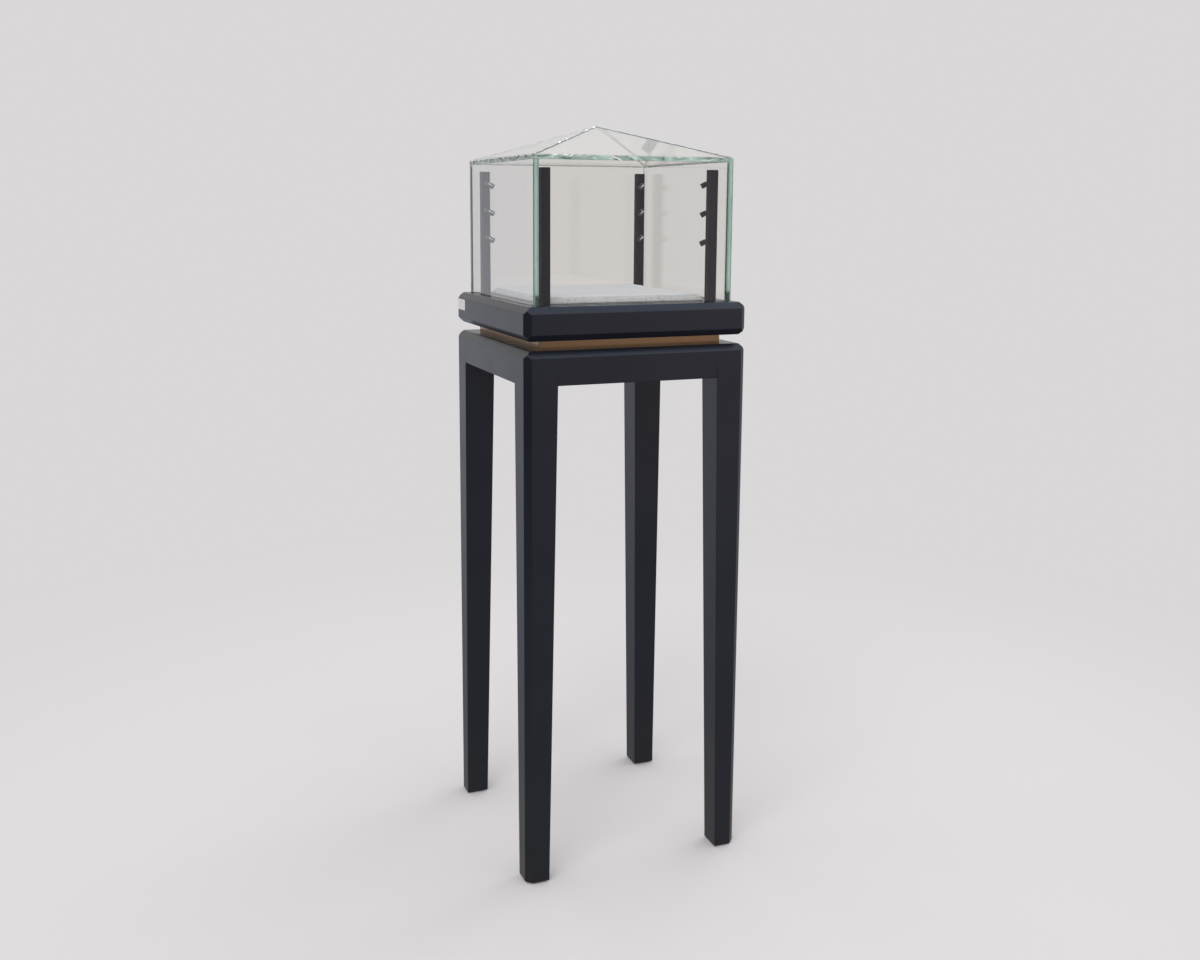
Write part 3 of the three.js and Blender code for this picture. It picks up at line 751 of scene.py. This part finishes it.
# ---- spotlights -------------------------------------------------------------------------------------
def spotlights():
    for corner, (sx, sy) in CORNERS.items():
        face = Vector((0, -sy, 0))
        c, s = math.cos(math.radians(30)), math.sin(math.radians(30))
        turn = math.radians(60)
        aim = Vector((-sx * c * math.sin(turn), -sy * c * math.cos(turn), -s))
        pin = face.cross(aim).normalized()
        for k, z in enumerate((1.3375, 1.2825, 1.2275), 1):
            at = Vector((sx * 0.170, sy * 0.1615, z))
            basis = Matrix((pin, face.cross(pin), face)).transposed().to_4x4()
            sw = Matrix.Translation(at) @ basis
            hb = Matrix((pin, aim.cross(pin), aim)).transposed().to_4x4()
            hd = Matrix.Translation(at + face * 0.008) @ hb
            tag = f"{corner}_{k}"
            # swivel: a turned base with a neck, and a rounded tongue that the head pivots on
            bm = bmesh.new()
            lathe(bm, rounded([(0, -4.5), (1.7, -4.5), (1.7, 0.3), (4.5, 0.3), (4.5, 1.4), (4.0, 1.9), (2.4, 2.0), (2.0, 3.2),
                               (1.3, 4.2), (0, 4.2)], 0.22, 2), 40, sw)
            outline = [(-2.0, 3.4), (2.0, 3.4)] + [(3.0 * math.cos(a), 8 + 3.0 * math.sin(a)) for a in
                                                   (math.pi * i / 16 for i in range(17))]
            ring = []
            for x in (-1.3, 1.3):
                ring.append([bm.verts.new(sw @ Vector((x * MM, p[0] * MM, p[1] * MM))) for p in outline])
            fa, fb = bm.faces.new(ring[0]), bm.faces.new(list(reversed(ring[1])))
            n = len(outline)
            for i in range(n):
                bm.faces.new((ring[0][i], ring[1][i], ring[1][(i + 1) % n], ring[0][(i + 1) % n]))
            rim = set(fa.edges) | set(fb.edges)
            ease(bm, lambda e: e in rim, 0.00025, 2)
            finish_mesh(bm, f"spot_swivel_{tag}", ["lamp"], f"swivel_{tag}", [f"lamp_swivel_{tag}"])
            # a bright steel collar round the neck of the swivel
            bm = bmesh.new()
            lathe(bm, rounded([(1.7, 2.05), (3.1, 2.05), (3.35, 2.3), (3.35, 2.9), (2.9, 3.4), (1.7, 3.45)], 0.2, 2), 32, sw)
            finish_mesh(bm, f"spot_collar_{tag}", ["steel"], f"swivel_{tag}")
            # head: finned rear, smooth barrel, a stepped bezel round the lens
            bm = bmesh.new()
            prof = [(0, 3.5), (3.8, 3.5), (4.6, 4.2), (5.1, 4.7), (5.1, 5.3), (4.55, 5.4), (4.55, 5.9), (5.1, 6.0), (5.1, 6.6),
                    (4.55, 6.7), (4.55, 7.2), (5.15, 7.3), (5.2, 7.9), (5.2, 14.9), (4.9, 15.5), (4.45, 15.5), (4.1, 14.4),
                    (0, 14.4)]
            lathe(bm, rounded(prof, 0.16, 2), 40, hd)
            for sgn in (-1, 1):
                x0, x1 = sgn * 1.6, sgn * 3.4
                outline = [(2.9 * math.cos(a), 2.9 * math.sin(a)) for a in (math.pi + math.pi * i / 14 for i in range(15))]
                outline = outline + [(2.9, 4.5), (-2.9, 4.5)]
                ring = [[bm.verts.new(hd @ Vector((x * MM, p[0] * MM, p[1] * MM))) for p in outline] for x in (x0, x1)]
                fa, fb = bm.faces.new(ring[0]), bm.faces.new(list(reversed(ring[1])))
                n = len(outline)
                for i in range(n):
                    bm.faces.new((ring[0][i], ring[1][i], ring[1][(i + 1) % n], ring[0][(i + 1) % n]))
                rim = set(fa.edges) | set(fb.edges)
                ease(bm, lambda e: e in rim, 0.0003, 2)
            finish_mesh(bm, f"spot_head_{tag}", ["lamp"], f"head_{tag}", [f"lamp_head_{tag}"])
            # painted highlights as pieces: a small bright knob on top of the head's shoulder and a slim bright line
            # along the barrel
            rise = aim.cross(pin)
            rise = rise if rise.z > 0 else -rise
            kb = Matrix.Translation(at + face * 0.008 + aim * 0.0056) @ Matrix((pin, rise.cross(pin), rise)).transposed().to_4x4()
            bm = bmesh.new()
            lathe(bm, rounded([(0, 4.7), (1.9, 4.7), (1.95, 5.9), (1.5, 6.3), (0, 6.5)], 0.2, 2), 24, kb)
            line = [(-0.75, 5.0), (-0.75, 5.3), (-0.4, 5.55), (0.4, 5.55), (0.75, 5.3), (0.75, 5.0)]
            ends = [[bm.verts.new(kb @ Vector((x * MM, 0, z * MM)) + aim * (y * MM)) for x, z in line] for y in (1.6, 9.0)]
            bm.faces.new(ends[0])
            bm.faces.new(list(reversed(ends[1])))
            for i in range(6):
                bm.faces.new((ends[0][i], ends[1][i], ends[1][(i + 1) % 6], ends[0][(i + 1) % 6]))
            finish_mesh(bm, f"spot_highlight_knob_{tag}", ["nickel"], f"head_{tag}")
            # pin with domed ends
            bm = bmesh.new()
            lathe(bm, rounded([(0, -3.85), (1.3, -3.75), (1.6, -3.42), (1.0, -3.4), (1.0, 3.4), (1.6, 3.42), (1.3, 3.75),
                               (0, 3.85)], 0.2, 2), 24, hd @ Matrix.Rotation(math.pi / 2, 4, "Y"))
            finish_mesh(bm, f"spot_pin_{tag}", ["steel"], f"head_{tag}")
            # lens
            bm = bmesh.new()
            lathe(bm, [(0, 13.9), (3.8, 13.9), (3.95, 14.4), (3.4, 14.7), (2.3, 15.0), (1.15, 15.16), (0, 15.2)], 32, hd)
            finish_mesh(bm, f"spot_lens_{tag}", ["lens"], f"head_{tag}")


# ---- glass hood ---------------------------------------------------------------------------------------
def hood():
    G, I = 0.2005, 0.1905
    def pane(node, name, planes, bonded, edges, clear):
        bm = from_node(node)
        for co, no in planes:
            bmesh.ops.bisect_plane(bm, geom=bm.verts[:] + bm.edges[:] + bm.faces[:], dist=1e-7, plane_co=co, plane_no=no)
        bm.normal_update()
        bevelled = set(ease(bm, edges, 0.0006, 1))
        bm.normal_update()
        for f in bm.faces:
            c, n = f.calc_center_median(), f.normal
            f.material_index = 2 if f in bevelled else 3 if bonded(c, n) else 0 if clear(c, n) else 1
        # a copy with painted light: the left and back eaves are greyer and less milky than the front and right ones
        cut_face = "edge" if node.startswith("glass") else "eave" if node in ("roof_front", "roof_right") else "eave_side"
        finish_mesh(bm, name, ["glass", cut_face, "hip" if node.startswith("roof") else "arris", "bond"], "glass_hood", [node], angle=1, weighted=False)

    for side, s in (("left", -1), ("right", 1)):
        pane(f"glass_{side}", f"hood_wall_{side}",
             [((0, y, 0), (0, 1, 0)) for y in (-I, I)],
             lambda c, n: (n.z > 0.5) or (n.x * s < -0.9 and abs(c.y) > I - 1e-5),
             lambda e: (all(abs(abs(v.co.x) - G) < 1e-5 and abs(abs(v.co.y) - G) < 1e-5 for v in e.verts)
                        or all(v.co.z < 1.11 for v in e.verts) and not any(abs(abs(v.co.y) - I) < 1e-5 for v in e.verts)),
             lambda c, n: abs(n.x) > 0.9)
    for side, s in (("front", -1), ("back", 1)):
        pane(f"glass_{side}", f"hood_wall_{side}", [],
             lambda c, n: (n.z > 0.5) or abs(n.x) > 0.9,
             lambda e: all(v.co.z < 1.11 for v in e.verts) and abs(e.verts[0].co.x - e.verts[1].co.x) > 0.1,
             lambda c, n: abs(n.y) > 0.9)
    for side, q in (("front", 0), ("right", 1), ("back", 2), ("left", 3)):
        out = Matrix.Rotation(q * math.pi / 2, 3, "Z") @ Vector((0, -1, 0))
        pane(f"roof_{side}", f"hood_roof_{side}", [(out * I, out)],
             lambda c, n, out=out: (abs(n.z) < 0.5 and n.dot(out) < 0.5) or (n.z < -0.5 and c.dot(out) > I),
             lambda e, out=out: (all(v.co.dot(out) > G - 1e-4 for v in e.verts)
                                 and abs(e.verts[0].co.z - e.verts[1].co.z) < 1e-4)
             or (all(v.co.z > 1.3829 and abs(abs(v.co.x) - abs(v.co.y)) < 5e-4 for v in e.verts)
                 and abs(e.verts[0].co.z - e.verts[1].co.z) > 1e-3),
             lambda c, n: abs(n.z) > 0.5)


    # a thin bead of clear setting resin along each hip
    for corner, (sx, sy) in CORNERS.items():
        foot, tip = Vector((sx * 0.1995, sy * 0.1995, 1.38380)), Vector((sx * 0.0004, sy * 0.0004, 1.44788))
        along = (tip - foot).normalized()
        side = along.cross(Vector((0, 0, 1))).normalized()
        up = side.cross(along)
        bm, rings, steps = bmesh.new(), [], 150
        for i in range(steps + 1):
            p = foot.lerp(tip, i / steps)
            chip = max(0.0, noise.noise(p * 55 + Vector((7.3, 2.1, 5.9)))) ** 2
            w = 0.00080 + 0.0008 * chip
            h = 0.00034 + 0.0003 * chip
            rings.append([bm.verts.new(p + side * x * w + up * y * h) for x, y in
                          ((-1, -1.2), (-0.55, 0.25), (0, 0.6), (0.55, 0.25), (1, -1.2), (0, -1.6))])
        for a, b in zip(rings, rings[1:]):
            for i in range(6):
                bm.faces.new((a[i], a[(i + 1) % 6], b[(i + 1) % 6], b[i]))
        bm.faces.new(rings[0])
        bm.faces.new(list(reversed(rings[-1])))
        finish_mesh(bm, f"hood_hip_bead_{corner}", ["bead"], "glass_hood", angle=60, weighted=False)


    # small white flakes along the cut edges and the front left hip: painted glints, put where the glass shows glints
    def flake(bm, centre, along, normal, length, width, seed):
        across = normal.cross(along).normalized()
        rim = []
        for i in range(10):
            a = math.tau * i / 10
            k = 1 + 0.35 * noise.noise(Vector((seed, i * 0.9, 3.1)))
            rim.append(bm.verts.new(centre + along * math.cos(a) * length * k + across * math.sin(a) * width * k - normal * 0.0003))
        mid = [bm.verts.new(centre + along * x * length + across * y * width + normal * 0.0006) for x, y in ((-0.45, 0.2), (0.4, -0.15))]
        bm.faces.new((rim[0], rim[1], mid[1]))
        for i in range(1, 10):
            m = mid[1] if i in (1, 8, 9) else mid[0]
            bm.faces.new((rim[i], rim[(i + 1) % 10], m))
            if i in (1, 7):
                o = mid[0] if i == 1 else mid[1]
                bm.faces.new((rim[(i + 1) % 10], o, m))
        bm.faces.new(list(reversed(rim)))

    bm = bmesh.new()
    foot, tip = Vector((-0.1995, -0.1995, 1.38380)), Vector((-0.0004, -0.0004, 1.44788))
    along = (tip - foot).normalized()
    upward = along.cross(Vector((0, 0, 1)).cross(along)).normalized()
    for i, (f, size) in enumerate(((0.385, 1.0), (0.50, 0.8), (0.535, 0.5), (0.83, 0.9), (0.865, 0.5), (0.955, 1.15))):
        tilt = (upward + Vector((-0.10, -0.28, 0.0))).normalized()
        flake(bm, foot.lerp(tip, f) + tilt * 0.0006, (along - tilt * along.dot(tilt)).normalized(), tilt, 0.0050 * size, 0.0023 * size, i * 1.7)
    finish_mesh(bm, "hood_hip_glint_flakes", ["chip"], "glass_hood", angle=30, weighted=False)
    bm = bmesh.new()
    for i, (x, z, dx, dz, length, width) in enumerate(((-0.160, 1.3828, 1, 0.0, 0.0056, 0.0015), (-0.139, 1.3825, 1, -0.1, 0.0062, 0.0016),
                                                       (-0.1285, 1.3820, 1, 0.45, 0.0050, 0.0015), (-0.0455, 1.3808, 1, -0.42, 0.0075, 0.0016),
                                                       (-0.0365, 1.3776, 1, -0.55, 0.0065, 0.0018), (0.086, 1.3824, 1, -0.1, 0.0045, 0.0012),
                                                       (0.141, 1.3782, 1, 0.3, 0.0048, 0.0011))):
        out = Vector((0.0, -1.0, 0.42)).normalized()
        d = Vector((dx, 0.0, dz)).normalized()
        flake(bm, Vector((x, -0.20085, z)), (d - out * d.dot(out)).normalized(), out, length, width, 9 + i * 2.3)
    for i, (y, z, dz, length, width) in enumerate(((0.135, 1.3822, 0.1, 0.0052, 0.0010), (0.068, 1.3790, -0.45, 0.0060, 0.0010),
                                                   (-0.022, 1.3821, 0.1, 0.0060, 0.0011), (-0.108, 1.3822, -0.2, 0.0050, 0.0010))):
        out = Vector((-1.0, 0.0, 0.42)).normalized()
        d = Vector((0.0, 1.0, dz)).normalized()
        flake(bm, Vector((-0.20085, y, z)), (d - out * d.dot(out)).normalized(), out, length, width, 31 + i * 1.9)
    finish_mesh(bm, "hood_eave_glint_flakes", ["glint_flake_soft"], "glass_hood", angle=30, weighted=False)


# ---- the rest: glides and what is inside -----------------------------------------------------------------
def small_parts():
    for corner, (sx, sy) in CORNERS.items():
        bm = bmesh.new()
        lathe(bm, rounded([(0, 0), (14.0, 0), (15.0, 1.0), (15.0, 2.7), (3.0, 2.7), (3.0, 19.2), (2.4, 20.0), (0, 20.0)], 0.4, 3),
              48, Matrix.Translation((sx * 0.202, sy * 0.202, 0)))
        finish_mesh(bm, f"nylon_glide_{corner}", ["nylon"], "stand", [f"glide_{corner}"])
    bm = from_node("led_driver")
    ease(bm, lambda e: all(v.co.z > 1.0575 for v in e.verts), 0.0009, 3)
    finish_mesh(bm, "driver_case", ["driver"], "stand", ["led_driver"])
    bm = from_node("deck_board")
    ease(bm, lambda e: True, 0.0006, 2)
    finish_mesh(bm, "plywood_deck_board", ["ply"], "deck", ["deck_board"])
    for node, m in (("neck_core", "ply"), ("case_base_cover", "mdf"), ("led_wiring", "cable"), ("glass_seal", "rubber")):
        o = frame["nodes"][node]
        for i in range(max(1, len(o.data.materials))):
            if len(o.material_slots) == 0:
                o.data.materials.append(M[m])
            o.material_slots[i].link = "OBJECT"
            o.material_slots[i].material = M[m]


table_frame()
case_base()
neck()
deck_pad()
posts()
spotlights()
hood()
small_parts()


# ---- floor, light -----------------------------------------------------------------------------------------
def floor():
    bm = bmesh.new()
    bmesh.ops.create_circle(bm, cap_ends=True, radius=14.0, segments=96)
    me = bpy.data.meshes.new("floor")
    bm.to_mesh(me)
    bm.free()
    ob = bpy.data.objects.new("floor", me)
    scene.collection.objects.link(ob)
    t = Tree("floor_paper")
    tc = t.add("ShaderNodeTexCoord")
    ln = t.add("ShaderNodeVectorMath", operation="LENGTH")
    t.put(ln.inputs[0], tc.outputs["Object"])
    far = t.add("ShaderNodeMapRange", interpolation_type="SMOOTHSTEP")
    for s, v in zip(("Value", "From Min", "From Max", "To Min", "To Max"), (ln.outputs["Value"], 0.7, 2.4, 0.0, 1.0)):
        t.put(far.inputs[s], v)
    d = t.add("ShaderNodeBsdfDiffuse")
    d.inputs[0].default_value = (0.885, 0.866, 0.876, 1.0)
    e = t.add("ShaderNodeEmission")
    e.inputs[0].default_value = PALE
    m = t.add("ShaderNodeMixShader")
    t.put(m.inputs[0], far.outputs[0])
    t.put(m.inputs[1], d.outputs[0])
    t.put(m.inputs[2], e.outputs[0])
    me.materials.append(t.out(m.outputs[0]))
    ob.visible_glossy = False


def world():
    w = bpy.data.worlds.new("studio")
    scene.world = w
    w.use_nodes = True
    t = Tree("studio", w.node_tree)
    tc = t.add("ShaderNodeTexCoord")
    sep = t.add("ShaderNodeSeparateXYZ")
    t.put(sep.inputs[0], tc.outputs["Generated"])
    x, y, z = sep.outputs
    turn = t.math("ADD", t.math("DIVIDE", t.math("ARCTAN2", y, x), 2 * math.pi), 0.5)
    g = lambda v, warm=1.0: (v * warm, v, v / warm)
    walls = t.ramp(turn, [(0.0, g(0.10)), (0.06, g(0.030)), (0.19, g(0.15)), (0.285, (0.28, 0.27, 0.30)), (0.33, (0.50, 0.46, 0.48)),
                          (0.42, g(0.68, 1.02)), (0.51, g(0.32, 1.02)), (0.685, g(0.32, 1.02)), (0.76, (0.545, 0.560, 0.615)), (0.80, (0.560, 0.570, 0.620)), (0.88, g(0.52, 0.97)),
                          (0.955, g(0.2)), (1.0, g(0.11))], "EASE")
    floor_side = t.ramp(t.spread(z, 0.0, 1.0, -0.34, -0.47), [(0.0, (0.250, 0.275, 0.340)), (1.0, (0.340, 0.325, 0.305))])
    low = t.mix(t.spread(z, 0.0, 1.0, -0.12, -0.40), walls, floor_side)
    level = t.ramp(turn, [(0.0, g(0.53)), (0.64, g(0.66)), (0.70, g(0.70, 1.01)), (0.73, g(0.70, 1.01)), (0.765, g(0.53)), (1.0, g(0.53))])
    low = t.mix(t.spread(z, 0.0, 1.0, -0.55, -0.85), low, (0.022, 0.016, 0.020))
    mid = t.mix(t.spread(z, 0.0, 1.0, 0.04, 0.15), low, level)
    mid = t.mix(t.spread(z, 0.0, 1.0, 0.42, 0.64), mid, (1.06, 1.07, 1.10))
    env = t.mix(t.spread(z, 0.0, 1.0, 0.76, 0.91), mid, (0.74, 0.88, 1.16))
    def panel(z0, z1, z2, z3, a0, a1, a2, a3):
        """1 inside a soft-edged patch of the sky, 0 outside it."""
        return t.math("MULTIPLY", t.math("MULTIPLY", t.spread(z, 0.0, 1.0, z0, z1), t.spread(z, 1.0, 0.0, z2, z3)),
                      t.math("MULTIPLY", t.spread(turn, 0.0, 1.0, a0, a1), t.spread(turn, 1.0, 0.0, a2, a3)))
    env = t.mix(panel(0.44, 0.50, 0.67, 0.73, 0.08, 0.11, 0.24, 0.27), env, (2.6, 2.6, 2.7))
    env = t.mix(panel(0.71, 0.77, 0.96, 0.99, 0.54, 0.57, 0.655, 0.68), env, (1.7, 2.0, 2.5))
    lp = t.add("ShaderNodeLightPath")
    gloss = t.math("MULTIPLY", t.math("GREATER_THAN", lp.outputs["Glossy Depth"], 0.5),
                   t.math("LESS_THAN", lp.outputs["Diffuse Depth"], 0.5))
    color = t.mix(gloss, PALE[:3], env)
    bg = t.add("ShaderNodeBackground")
    t.put(bg.inputs[0], color)
    o = t.add("ShaderNodeOutputWorld")
    t.put(o.inputs[0], bg.outputs[0])


def lamp(name, at, size, power, color=(1, 1, 1)):
    d = bpy.data.lights.new(name, "AREA")
    d.shape, d.size, d.energy, d.color = "SQUARE", size, power, color
    o = bpy.data.objects.new(name, d)
    scene.collection.objects.link(o)
    o.location = at
    o.rotation_euler = (Vector((0, 0, 0.8)) - Vector(at)).to_track_quat("-Z", "Y").to_euler()
    o.visible_glossy = False
    o.visible_camera = False
    o.visible_transmission = False


floor()
world()
lamp("key", (-3.0, -3.2, 5.4), 3.2, 78, (1.0, 0.985, 0.96))
lamp("fill", (3.4, 1.2, 5.2), 3.6, 46, (0.95, 0.98, 1.0))
